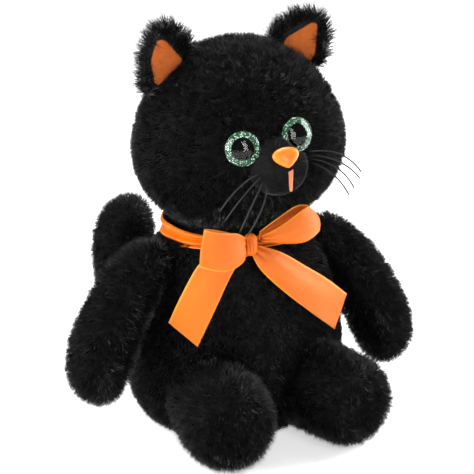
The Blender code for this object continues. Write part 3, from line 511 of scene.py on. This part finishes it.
def pile_tree():
    """Strands all over a skin. They lean with two sizes of tuft and lie along the sweep."""
    tree = bpy.data.node_groups.new("Pile", "GeometryNodeTree")
    face = tree.interface
    face.new_socket("Geometry", in_out="INPUT", socket_type="NodeSocketGeometry")
    for name, kind in (
        ("Strand", "NodeSocketObject"),
        ("Density", "NodeSocketFloat"),
        ("Length", "NodeSocketFloat"),
        ("Width", "NodeSocketFloat"),
        ("Lift", "NodeSocketFloat"),
        ("Swirl", "NodeSocketFloat"),
        ("Tuft", "NodeSocketFloat"),
        ("Sweep", "NodeSocketVector"),
        ("Floor", "NodeSocketFloat"),
        ("Seed", "NodeSocketInt"),
        ("Material", "NodeSocketMaterial"),
    ):
        face.new_socket(name, in_out="INPUT", socket_type=kind)
    face.new_socket("Geometry", in_out="OUTPUT", socket_type="NodeSocketGeometry")
    add = tree.nodes.new
    join = tree.links.new
    start, end = add("NodeGroupInput"), add("NodeGroupOutput")
    given = start.outputs

    def vector(operation, a, b):
        node = add("ShaderNodeVectorMath")
        node.operation = operation
        join(a, node.inputs[0])
        if operation == "SCALE":
            join(b, node.inputs["Scale"])
        elif isinstance(b, tuple):
            node.inputs[1].default_value = b
        elif b is not None:
            join(b, node.inputs[1])
        return node.outputs[0]

    def random_float(low, high, offset):
        node = add("FunctionNodeRandomValue")
        node.data_type = "FLOAT"
        node.inputs[2].default_value = low
        node.inputs[3].default_value = high
        shift = add("ShaderNodeMath")
        shift.inputs[1].default_value = offset
        join(given["Seed"], shift.inputs[0])
        join(shift.outputs[0], node.inputs["Seed"])
        return node.outputs[1]

    def drift(scale, amount):
        texture = add("ShaderNodeTexNoise")
        texture.inputs["Scale"].default_value = scale
        texture.inputs["Detail"].default_value = 1.0
        centred = vector("SUBTRACT", texture.outputs["Color"], (0.5, 0.5, 0.5))
        if isinstance(amount, float):
            return vector("MULTIPLY", centred, (amount, amount, amount))
        return vector("SCALE", centred, amount)

    # Where the strands stand, and which way each one leans
    points = add("GeometryNodeDistributePointsOnFaces")
    join(given["Geometry"], points.inputs["Mesh"])
    join(given["Density"], points.inputs["Density"])
    join(given["Seed"], points.inputs["Seed"])
    lean = vector("SCALE", points.outputs["Normal"], given["Lift"])
    lean = vector("ADD", lean, given["Sweep"])
    lean = vector("ADD", lean, drift(SWIRL_SCALE, given["Swirl"]))
    lean = vector("ADD", lean, drift(TUFT_SCALE, given["Tuft"]))
    lean = vector("NORMALIZE", lean, None)
    aim = add("FunctionNodeAlignRotationToVector")
    aim.axis = "Z"
    join(lean, aim.inputs["Vector"])
    # A random turn and length
    spin = add("FunctionNodeAxisAngleToRotation")
    spin.inputs["Axis"].default_value = (0.0, 0.0, 1.0)
    join(random_float(0.0, 2 * math.pi, 1), spin.inputs["Angle"])
    turn = add("FunctionNodeRotateRotation")
    turn.rotation_space = "LOCAL"
    join(aim.outputs["Rotation"], turn.inputs["Rotation"])
    join(spin.outputs["Rotation"], turn.inputs["Rotate By"])
    length = add("ShaderNodeMath")
    length.operation = "MULTIPLY"
    join(given["Length"], length.inputs[0])
    join(random_float(0.55, 1.1, 2), length.inputs[1])
    size = add("ShaderNodeCombineXYZ")
    join(given["Width"], size.inputs["X"])
    join(length.outputs[0], size.inputs["Y"])
    join(length.outputs[0], size.inputs["Z"])
    strand = add("GeometryNodeObjectInfo")
    join(given["Strand"], strand.inputs["Object"])
    scatter = add("GeometryNodeInstanceOnPoints")
    join(points.outputs["Points"], scatter.inputs["Points"])
    join(strand.outputs["Geometry"], scatter.inputs["Instance"])
    join(turn.outputs["Rotation"], scatter.inputs["Rotation"])
    join(size.outputs[0], scatter.inputs["Scale"])
    # What each strand keeps once it is plain mesh: its shade and the cloth's normal under it
    shade = add("GeometryNodeStoreNamedAttribute")
    shade.data_type = "FLOAT"
    shade.domain = "INSTANCE"
    shade.inputs["Name"].default_value = "strand_shade"
    join(scatter.outputs[0], shade.inputs["Geometry"])
    join(random_float(0.25, 1.0, 3), shade.inputs["Value"])
    faced = add("GeometryNodeStoreNamedAttribute")
    faced.data_type = "FLOAT_VECTOR"
    faced.domain = "INSTANCE"
    faced.inputs["Name"].default_value = "cloth_normal"
    join(shade.outputs[0], faced.inputs["Geometry"])
    join(points.outputs["Normal"], faced.inputs["Value"])
    real = add("GeometryNodeRealizeInstances")
    join(faced.outputs[0], real.inputs["Geometry"])
    # Nothing goes below the floor
    where = add("GeometryNodeInputPosition")
    split = add("ShaderNodeSeparateXYZ")
    join(where.outputs[0], split.inputs[0])
    raised = add("ShaderNodeMath")
    raised.operation = "MAXIMUM"
    join(split.outputs["Z"], raised.inputs[0])
    join(given["Floor"], raised.inputs[1])
    back = add("ShaderNodeCombineXYZ")
    join(split.outputs["X"], back.inputs["X"])
    join(split.outputs["Y"], back.inputs["Y"])
    join(raised.outputs[0], back.inputs["Z"])
    press = add("GeometryNodeSetPosition")
    join(real.outputs[0], press.inputs["Geometry"])
    join(back.outputs[0], press.inputs["Position"])
    # Shaded as soft tufts on the cloth, not as separate blades
    stored = add("GeometryNodeInputNamedAttribute")
    stored.data_type = "FLOAT_VECTOR"
    stored.inputs["Name"].default_value = "cloth_normal"
    tufted = vector("ADD", stored.outputs[0], drift(TUFT_SCALE, TUFT_SHADING))
    tufted = vector("NORMALIZE", tufted, None)
    shaded = add("GeometryNodeSetMeshNormal")
    shaded.mode = "FREE"
    shaded.domain = "POINT"
    join(press.outputs[0], shaded.inputs["Mesh"])
    join(tufted, shaded.inputs["Custom Normal"])
    dress = add("GeometryNodeSetMaterial")
    join(shaded.outputs[0], dress.inputs["Geometry"])
    join(given["Material"], dress.inputs["Material"])
    join(dress.outputs[0], end.inputs["Geometry"])
    return tree


SWIRL_SCALE = 38.0
TUFT_SCALE = 210.0
TUFT_SHADING = 1.1
STRAND = blade_mesh()
PILE_TREE = pile_tree()


def cleared(mesh, bald):
    """Takes away the faces that the bald(centre, normal) test picks, so nothing grows there."""
    bm = bmesh.new()
    bm.from_mesh(mesh)
    found = [face for face in bm.faces if bald(face.calc_center_median(), face.normal)]
    bmesh.ops.delete(bm, geom=found, context="FACES")
    bm.to_mesh(mesh)
    bm.free()


def pile(name, skin, body, slot, material=None, bald=None, **sizes):
    """Strands grown on a skin, as one plain mesh that rides with the skin's body."""
    obj = bpy.data.objects.new(name, skin.data.copy())
    bpy.context.scene.collection.objects.link(obj)
    if bald:
        cleared(obj.data, bald)
    grow = obj.modifiers.new("Grow", "NODES")
    grow.node_group = PILE_TREE
    values = dict(
        Strand=STRAND,
        Density=1.6e6,
        Length=0.006,
        Width=0.00030,
        Lift=1.0,
        Swirl=1.6,
        Tuft=1.8,
        Sweep=(0.0, 0.0, 0.0),
        Floor=FLOOR_GAP,
        Seed=1,
        Material=material or FUR,
    )
    values.update(sizes)
    for socket in PILE_TREE.interface.items_tree:
        if socket.in_out == "INPUT" and socket.name in values:
            grow[socket.identifier] = values[socket.name]
    applied(obj)
    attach(obj, body)
    return obj


# Scene


def make_camera():
    azimuth, elevation = math.radians(VIEW_AZIMUTH), math.radians(VIEW_ELEVATION)
    back = Vector(
        (
            math.sin(azimuth) * math.cos(elevation),
            -math.cos(azimuth) * math.cos(elevation),
            math.sin(elevation),
        )
    )
    data = bpy.data.cameras.new("camera")
    data.lens = VIEW_LENS
    data.sensor_width = 36.0
    data.clip_start = 0.05
    data.clip_end = 20.0
    camera = bpy.data.objects.new("camera", data)
    bpy.context.scene.collection.objects.link(camera)
    camera.location = VIEW_TARGET + back * VIEW_DISTANCE
    camera.rotation_euler = (-back).to_track_quat("-Z", "Y").to_euler()
    bpy.context.scene.camera = camera


def softbox(name, place, aim, size, power):
    data = bpy.data.lights.new(name, "AREA")
    data.shape = "RECTANGLE"
    data.size, data.size_y = size
    data.energy = power
    light = bpy.data.objects.new(name, data)
    bpy.context.scene.collection.objects.link(light)
    light.location = place
    light.rotation_euler = (Vector(aim) - Vector(place)).to_track_quat("-Z", "Y").to_euler()
    return light


def make_room():
    """White all round. Only the camera sees the walls at full strength, so the black cloth stays deep."""
    bpy.context.scene.view_settings.view_transform = "Standard"
    world = bpy.data.worlds.new("studio")
    bpy.context.scene.world = world
    world.use_nodes = True
    tree = world.node_tree
    path = tree.nodes.new("ShaderNodeLightPath")
    glow = tree.nodes.new("ShaderNodeMapRange")
    glow.inputs["To Min"].default_value = ROOM_LIGHT
    glow.inputs["To Max"].default_value = 1.0
    tree.links.new(path.outputs["Is Camera Ray"], glow.inputs["Value"])
    tree.links.new(glow.outputs["Result"], tree.nodes["Background"].inputs["Strength"])
    tree.nodes["Background"].inputs["Color"].default_value = (1.0, 1.0, 1.0, 1.0)
    bm = bmesh.new()
    bmesh.ops.create_grid(bm, x_segments=1, y_segments=1, size=3.0)
    glow_of_floor = dict(Emission_Color=(1.0, 1.0, 1.0, 1.0), Emission_Strength=0.6)
    s = Shader("pale_floor", (0.93, 0.93, 0.93), 0.7, **glow_of_floor)
    s.link(s.ramp(s.noise(3.0), (0.92, 0.92, 0.92), (0.94, 0.94, 0.94)), s.surface.inputs["Base Color"])
    floor = mesh_object("floor", bm, s.material, smooth=False)
    for name, (place, size, power) in SOFTBOXES.items():
        softbox(name, place, SOFTBOX_AIM, size, power)


def make_catchlight():
    """A small panel that only shines in glossy things. It stands where the right dome mirrors it."""
    frame = eye_frame("right")
    curve = (EYE_RADIUS**2 + EYE_DOME**2) / (2 * EYE_DOME)
    across, up = CATCHLIGHT_ON_EYE
    point = frame @ Vector((across, -(EYE_PROUD + EYE_DISC + EYE_DOME), up))
    normal = (frame.to_3x3() @ Vector((across, -curve, up))).normalized()
    view = (point - bpy.context.scene.camera.location).normalized()
    place = point + view.reflect(normal) * CATCHLIGHT_DISTANCE
    panel = softbox("catchlight", place, point, CATCHLIGHT_SIZE, CATCHLIGHT_POWER)
    panel.visible_diffuse = panel.visible_transmission = False


# Furry bodies


def make_furry_bodies():
    panels = ["belly_panel", "back_panel_left", "back_panel_right", "seat_panel"]
    torso = soft_skin("torso_cover", [*panels, "torso_stuffing", "pellet_bag"], BACKING)
    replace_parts(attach(torso, "torso"), *panels)
    for number, length in enumerate((0.0046, 0.0040)):
        pile(
            f"torso_pile_{number + 1}",
            torso,
            "torso",
            "black_pile",
            Density=1.4e6,
            Length=length,
            Seed=11 + number,
            Sweep=(0, 0, -0.6),
        )
    neck = soft_skin("neck_cover", ["neck_stuffing"], BACKING)
    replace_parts(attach(neck, "neck"), "neck_stuffing")
    pile("neck_pile", neck, "neck", "black_pile", Density=1.4e6, Length=0.011, Seed=13)
    panels = ["face_panel_left", "face_panel_right", "head_back_panel_left", "head_back_panel_right"]
    head = soft_skin("head_cover", [*panels, "head_stuffing"], BACKING)
    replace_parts(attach(head, "head"), *panels)
    for number, length in enumerate((0.0050, 0.0044)):
        pile(
            f"head_pile_{number + 1}",
            head,
            "head",
            "black_pile",
            bald=under_face,
            Density=1.8e6,
            Length=length,
            Seed=21 + number,
            Sweep=(0, 0.3, -0.15),
        )
    for number, side in enumerate(SIDES):
        arm = [f"arm_front_panel_{side}", f"arm_back_panel_{side}"]
        make_limb(f"arm_{side}", arm, f"arm_stuffing_{side}", 31 + number)
        leg = [f"leg_panel_{side}", f"foot_sole_{side}"]
        make_limb(f"leg_{side}", leg, f"leg_stuffing_{side}", 41 + number)
        make_ear(side, 61 + number)
    make_limb("tail", ["tail_front_panel", "tail_back_panel"], "tail_stuffing", 51)


def under_face(centre, normal):
    """True on the head's cloth under an eye or under the snout."""
    for side in SIDES:
        if (centre - eye_frame(side).translation).length < EYE_RADIUS:
            return True
    inside = MUZZLE_FRAME.inverted() @ centre
    share = Vector((inside.x / MUZZLE_HALF.x, inside.y / MUZZLE_HALF.y, inside.z / MUZZLE_HALF.z))
    return share.length < 0.97


def make_limb(body, panels, stuffing, seed):
    skin = soft_skin(f"{body}_cover", [*panels, stuffing], BACKING)
    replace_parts(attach(skin, body), *panels)
    hang = (0, 0, -0.35)
    pile(f"{body}_pile", skin, body, "black_pile", Density=3.0e6, Length=0.0062, Seed=seed, Sweep=hang)


FELT_REACH = 0.0021  # nothing grows on the ear this near its felt patch
FELT_FACING = 0.2  # and only where the ear's cloth faces forward, by its normal's Y


def make_ear(side, seed):
    skin = soft_skin(f"ear_cover_{side}_skin", [f"ear_cover_{side}"], BACKING, voxel=0.0010, rounds=3)
    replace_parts(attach(skin, f"ear_{side}"), f"ear_cover_{side}")
    lining = nodes_joined("lining_guide", [f"ear_lining_{side}"])
    corners = [vertex.co.copy() for vertex in lining.data.vertices]
    tree = BVHTree.FromPolygons(corners, [tuple(face.vertices) for face in lining.data.polygons])
    bpy.data.objects.remove(lining)

    def behind_felt(centre, normal):
        return tree.find_nearest(centre)[3] < FELT_REACH and normal.y < FELT_FACING

    pile(
        f"ear_{side}_pile",
        skin,
        f"ear_{side}",
        "black_pile",
        bald=behind_felt,
        Density=4.2e6,
        Length=0.0080,
        Seed=seed,
        Sweep=(0, 0.5, 0.35),
    )


# Face


def facing(point, out):
    """The frame at a point whose -Y axis points out and whose X axis is level."""
    back = -out
    across = back.cross(Vector((0, 0, 1))).normalized()
    axes = Matrix((across, back, across.cross(back).normalized())).transposed()
    return Matrix.Translation(point) @ axes.to_4x4()


HEAD_FRAME = Matrix.Translation(HEAD_CENTRE) @ turned(HEAD_TILT)
MUZZLE_FRAME = HEAD_FRAME @ Matrix.Translation(MUZZLE_CENTRE) @ turned(MUZZLE_TILT)


def eye_frame(side):
    x, z = EYE_PLACES[side]
    up = z / HEAD_HALF.z
    wide = 1 - CHEEKS * up
    y = -HEAD_HALF.y * wide * math.sqrt(1 - (x / (HEAD_HALF.x * wide)) ** 2 - up**2)
    out = Vector((x / HEAD_HALF.x**2, y / HEAD_HALF.y**2, z / HEAD_HALF.z**2))
    return HEAD_FRAME @ facing(Vector((x, y, z)), out.normalized())


def lathe(name, profile, matrix, material):
    """A profile of (radius, depth) points turned about the local Y axis."""
    bm = bmesh.new()
    rows = []
    for radius, depth in profile:
        if radius < 1e-7:
            rows.append([bm.verts.new((0.0, depth, 0.0))])
            continue
        angles = [2 * math.pi * i / LATHE_STEPS for i in range(LATHE_STEPS)]
        rows.append([bm.verts.new((radius * math.cos(a), depth, radius * math.sin(a))) for a in angles])
    for low, high in zip(rows, rows[1:]):
        for i in range(LATHE_STEPS):
            j = (i + 1) % LATHE_STEPS
            corners = [low[i % len(low)], low[j % len(low)], high[j % len(high)], high[i % len(high)]]
            bm.faces.new(list(dict.fromkeys(corners)))
    bmesh.ops.transform(bm, matrix=matrix, verts=bm.verts)
    turned_piece = mesh_object(name, bm, material)
    turned_piece.data.set_sharp_from_angle(angle=math.radians(LATHE_SHARP))
    return turned_piece


def make_eye(side):
    """A clear dome over a glitter ring, with a black pupil standing in the ring."""
    at = eye_frame(side)
    back = -EYE_PROUD
    front = back - EYE_DISC
    ring_hole = PUPIL_RADIUS + EYE_GAP
    ring = lathe(
        f"eye_ring_{side}",
        [
            (ring_hole, back),
            (ring_hole, front),
            (EYE_RADIUS - EYE_EDGE, front),
            (EYE_RADIUS, front + EYE_EDGE),
            (EYE_RADIUS, back),
            (ring_hole, back),
        ],
        at,
        GLITTER,
    )
    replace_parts(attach(ring, "head"), f"eye_glitter_{side}")
    pupil = lathe(
        f"pupil_{side}",
        [
            (0.0, PUPIL_POST_DEPTH),
            (PUPIL_POST_RADIUS, PUPIL_POST_DEPTH),
            (PUPIL_POST_RADIUS, back),
            (PUPIL_RADIUS, back),
            (PUPIL_RADIUS, front - 0.0002),
            (PUPIL_RADIUS - EYE_EDGE, front - 0.00025),
            (0.0, front - 0.00025),
        ],
        at,
        PUPIL,
    )
    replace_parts(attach(pupil, "head"), f"eye_pupil_{side}")
    sphere = (EYE_RADIUS**2 + EYE_DOME**2) / (2 * EYE_DOME)
    half_angle = math.asin(EYE_RADIUS / sphere)
    base = front - EYE_GAP
    profile = [(0.0, base), (EYE_RADIUS, base)]
    for step in range(DOME_STEPS - 1, -1, -1):
        angle = half_angle * step / DOME_STEPS
        rise = sphere * (math.cos(angle) - math.cos(half_angle))
        profile.append((sphere * math.sin(angle), base - rise))
    dome = lathe(f"dome_{side}", profile, at, CLEAR)
    dome.data.materials.append(CLEAR_BACK)
    # The first ring of faces is the flat back, which lies on the glitter
    for face in dome.data.polygons[:LATHE_STEPS]:
        face.material_index = 1
    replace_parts(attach(dome, "head"), f"eye_dome_{side}")


def make_muzzle():
    skin = soft_skin("snout_cover", ["muzzle_cover", "muzzle_stuffing"], BACKING, voxel=0.0009, rounds=4)
    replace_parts(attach(skin, "head"), "muzzle_cover")
    short = dict(Density=14e6, Length=0.0011, Width=0.00016, Swirl=1.2, Tuft=0.6, Lift=0.9)
    pile("snout_pile", skin, "head", "black_velour", VELOUR, Seed=71, **short)


def make_nose():
    """A rounded triangle, point down, moulded in one piece."""
    x, z = NOSE_PLACE
    share = (x / MUZZLE_HALF.x) ** 2 + (z / MUZZLE_HALF.z) ** 2
    at = MUZZLE_FRAME @ Matrix.Translation((x, -MUZZLE_HALF.y * math.sqrt(1 - share), z))
    at = at @ turned((-NOSE_PITCH, NOSE_ROLL, 0)) @ Matrix.Translation((0, -NOSE_HALF.y - 0.0004, 0))
    bm = bmesh.new()
    bmesh.ops.create_uvsphere(bm, u_segments=48, v_segments=32, radius=1.0)
    for vertex in bm.verts:
        p = vertex.co
        narrow = 0.72 + 0.34 * (p.z + 0.30) - 0.12 * p.z**2
        fuller = math.copysign(abs(p.y) ** 0.85, p.y)
        vertex.co = Vector((NOSE_HALF.x * p.x * narrow * 1.22, NOSE_HALF.y * fuller, NOSE_HALF.z * p.z))
    bmesh.ops.transform(bm, matrix=at, verts=bm.verts)
    nose = mesh_object("nose_button", bm, NOSE)
    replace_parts(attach(nose, "head"), "nose")


def tube(bm, points, radii, sides):
    """A closed tube through the points, with its own radius at each."""
    rings = []
    for i, point in enumerate(points):
        ahead = points[min(i + 1, len(points) - 1)] - points[max(i - 1, 0)]
        ahead.normalize()
        side = Vector((0, 0, 1)).cross(ahead)
        side = side.normalized() if side.length > 1e-6 else Vector((1, 0, 0))
        other = ahead.cross(side)
        ring = []
        for k in range(sides):
            angle = 2 * math.pi * k / sides
            offset = side * math.cos(angle) + other * math.sin(angle)
            ring.append(bm.verts.new(point + offset * radii[i]))
        rings.append(ring)
    for low, high in zip(rings, rings[1:]):
        for k in range(sides):
            bm.faces.new((low[k], low[(k + 1) % sides], high[(k + 1) % sides], high[k]))
    bm.faces.new(rings[0][::-1])
    bm.faces.new(rings[-1])


def make_mouth():
    """Satin stitch: short threads laid side by side across the line of the mouth."""
    first, last = -3.0, 48.0  # degrees round the snout, down from its middle
    count = 26
    lift = 0.0011
    slant = 0.0003
    bm = bmesh.new()
    for step in range(count):
        t = step / (count - 1)
        angle = math.radians(first + (last - first) * t)
        middle = Vector((0.0003 - 0.0009 * math.sin(math.pi * t) - 0.0004 * t, 0, 0))
        middle.y = -(MUZZLE_HALF.y + lift) * math.cos(angle)
        middle.z = -(MUZZLE_HALF.z + lift) * math.sin(angle)
        half = 0.00145 - 0.0006 * t
        points = []
        for k in range(7):
            u = k / 3 - 1
            dome = 0.0007 * (1 - u * u)
            out = Vector((0, -math.cos(angle), -math.sin(angle)))
            points.append(middle + Vector((u * half, 0, u * slant)) + out * (dome - 0.0004))
        radii = [0.00017 + 0.00013 * (1 - abs(k / 3 - 1) ** 2) for k in range(7)]
        tube(bm, points, radii, 6)
    bmesh.ops.transform(bm, matrix=MUZZLE_FRAME, verts=bm.verts)
    mouth = mesh_object("mouth_threads", bm, THREAD)
    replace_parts(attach(mouth, "head"), "mouth_stitch")


def curve_through(points, t):
    """The Catmull-Rom curve through the points, t from 0 to 1."""
    last = len(points) - 1
    place = min(max(t, 0.0), 1.0) * last
    i = min(int(place), last - 1)
    f = place - i
    before, start = points[max(i - 1, 0)], points[i]
    end, after = points[i + 1], points[min(i + 2, last)]
    return 0.5 * (
        2 * start
        + (end - before) * f
        + (2 * before - 5 * start + 4 * end - after) * f**2
        + (3 * start - before - 3 * end + after) * f**3
    )


def make_whiskers():
    """Stiff threads that droop and grow a little thicker towards their tips."""
    for side, threads in WHISKERS.items():
        for number, bent in enumerate(threads, 1):
            start, through, end = (HEAD_FRAME @ (Vector(p) / 1000) for p in bent)
            pull = 2 * through - (start + end) / 2
            steps = 22
            points = []
            for step in range(steps + 1):
                t = step / steps
                points.append((1 - t) ** 2 * start + 2 * t * (1 - t) * pull + t**2 * end)
            radii = [WHISKER_RADIUS * (0.72 + 0.28 * k / steps) for k in range(steps + 1)]
            radii[-1] *= 0.45
            bm = bmesh.new()
            tube(bm, points, radii, 8)
            hair = mesh_object(f"whisker_thread_{side}_{number}", bm, WHISKER)
            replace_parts(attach(hair, "head"), f"whisker_{side}_{number}")


# Ribbon


def ribbon_sheet(name, place, along, across=16):
    """A strip of satin. place(t, u) gives the point t of the way along and u of the way across."""
    bm = bmesh.new()
    uv = bm.loops.layers.uv.new("ribbon")
    edge = bm.verts.layers.float.new("woven_edge")
    rows = []
    for i in range(along + 1):
        row = []
        for j in range(across + 1):
            u = j / across
            vertex = bm.verts.new(place(i / along, u))
            rim = min(u, 1 - u) * RIBBON_WIDTH
            vertex[edge] = 1.0 if rim < 0.0009 else 0.0
            row.append(vertex)
        rows.append(row)
    for i in range(along):
        for j in range(across):
            quad = bm.faces.new((rows[i][j], rows[i + 1][j], rows[i + 1][j + 1], rows[i][j + 1]))
            for loop, (a, b) in zip(quad.loops, ((i, j), (i + 1, j), (i + 1, j + 1), (i, j + 1))):
                loop[uv].uv = (a / along, b / across)
    mesh = bpy.data.meshes.new(name)
    bm.to_mesh(mesh)
    bm.free()
    obj = bpy.data.objects.new(name, mesh)
    bpy.context.scene.collection.objects.link(obj)
    mesh.materials.append(SATIN)
    mesh.shade_smooth()
    wall = obj.modifiers.new("Thickness", "SOLIDIFY")
    wall.thickness = RIBBON_THICKNESS
    wall.offset = 0.0
    return applied(obj)


def folded(name, t, u):
    """A strip's point: between its two edges, with a crown across and gathers near the knot."""
    first, second = STRIPS[name]
    top = curve_through([Vector(p) for p in first], t)
    bottom = curve_through([Vector(p) for p in second], t)
    point = top.lerp(bottom, u)
    loop = name.startswith("bow_loop")
    near = min(t, 1 - t) * 2 if loop else t
    way = -1.0 if not loop or t < 0.5 else 1.0
    crown = math.sin(math.pi * u) * STRIP_BOWS[name] * math.sin(math.pi * min(near * 1.15, 1.0)) ** 0.7
    gather = 0.75 * math.exp(-4.2 * near) * math.sin(2 * math.pi * (2.5 * u + 0.3))
    ripple = 0.35 * math.sin(2 * math.pi * (1.3 * u + 0.9 * t)) * math.sin(math.pi * min(near, 1.0))
    point.y += way * (crown + gather + ripple)
    if loop:
        outward = -1.0 if name.endswith("right") else 1.0
        point.x += outward * TIP_ROUND[name] * math.sin(math.pi * u) * math.exp(-(((t - 0.5) / 0.14) ** 2))
    return point / 1000


def make_ribbon():
    for name, length in STRIP_LENGTHS.items():
        strip = ribbon_sheet(f"{name}_satin", partial(folded, name), 72)
        body = name.replace("_tail", "") if "tail" in name else "torso"
        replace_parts(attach(strip, body), name)
    make_band()
    make_knot()


def make_band():
    """The ribbon round the neck, crushed into lengthwise gathers, its two ends behind the knot."""
    start = math.atan2(KNOT.y - NECK_Y, KNOT.x)

    def place(t, u):
        angle = start + BAND_OPENING + t * 2 * (math.pi - BAND_OPENING)
        away = (1 - math.cos(angle - start)) / 2
        crease = 0.0006 * math.sin(9 * angle) * math.sin(math.pi * u)
        gather = BAND_GATHER * math.sin(2 * math.pi * BAND_GATHERS * u)
        half = Vector((BAND_HALF.x + crease + gather, BAND_HALF.y + crease + gather))
        narrow = 0.55 + 0.45 * min(1.0, 3.0 * away)
        z = BAND_Z + BAND_RISE * min(1.0, 1.6 * away) + (0.5 - u) * 2 * BAND_HALF.z * narrow
        return Vector((half.x * math.cos(angle), half.y * math.sin(angle) + NECK_Y, z))

    band = ribbon_sheet("neck_ribbon_satin", place, 160, 24)
    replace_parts(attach(band, "torso"), "neck_ribbon")


def make_knot():
    """Satin pulled tight round the middle of the bow, with deep gathers."""
    bm = bmesh.new()
    bmesh.ops.create_uvsphere(bm, u_segments=64, v_segments=40, radius=1.0)
    uv = bm.loops.layers.uv.new("ribbon")
    for vertex in bm.verts:
        p = vertex.co
        pleat = 1 + 0.07 * math.sin(11 * math.atan2(p.x, -p.y) + 2.5 * p.z) * (1 - p.z**2)
        square = math.copysign(abs(p.z) ** 0.75, p.z)
        waist = 0.82 + 0.22 * p.z**2
        wide = KNOT_HALF.x * p.x * pleat * waist
        vertex.co = Vector((wide, KNOT_HALF.y * p.y * pleat, KNOT_HALF.z * square))
    for face in bm.faces:
        for loop in face.loops:
            loop[uv].uv = (loop.vert.co.z / 0.02, loop.vert.co.x / 0.02)
    bmesh.ops.translate(bm, vec=KNOT_PLACE, verts=bm.verts)
    knot = mesh_object("bow_knot_satin", bm, SATIN)
    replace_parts(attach(knot, "torso"), "bow_knot")


# Ear linings and hidden pieces


def make_lining(side):
    """A felt patch with soft edges and short fuzz."""
    patch = nodes_joined(f"ear_felt_{side}", [f"ear_lining_{side}"])
    bevel = patch.modifiers.new("Soft edge", "SUBSURF")
    bevel.levels = bevel.render_levels = 3
    applied(patch)
    patch.data.materials.clear()
    patch.data.materials.append(FELT)
    patch.data.shade_smooth()
    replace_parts(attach(patch, f"ear_{side}"), f"ear_lining_{side}")
    fuzz = dict(Density=18e6, Length=0.0009, Width=0.00011, Lift=0.7, Swirl=1.5, Tuft=1.0)
    pile(f"ear_fuzz_{side}", patch, f"ear_{side}", "apricot_felt", FELT_FUZZ, Seed=81, **fuzz)


def dress_hidden():
    """Fibre, pellets and washers, which the cloth covers."""
    looks = {
        "stuffing": plain_material("white_fibre", (0.80, 0.80, 0.78), 1.0, 300.0),
        "pellet": plain_material("grey_calico", (0.55, 0.53, 0.50), 0.9, 900.0),
        "washer": plain_material("white_plastic", (0.75, 0.75, 0.73), 0.45, 200.0),
    }
    for name, node in frame["nodes"].items():
        for word, material in looks.items():
            if word in name:
                node.data.materials.clear()
                node.data.materials.append(material)


make_camera()
make_room()
make_catchlight()
make_furry_bodies()
for eye_side in SIDES:
    make_eye(eye_side)
    make_lining(eye_side)
make_muzzle()
make_nose()
make_mouth()
make_whiskers()
make_ribbon()
dress_hidden()

bpy.data.objects.remove(STRAND)
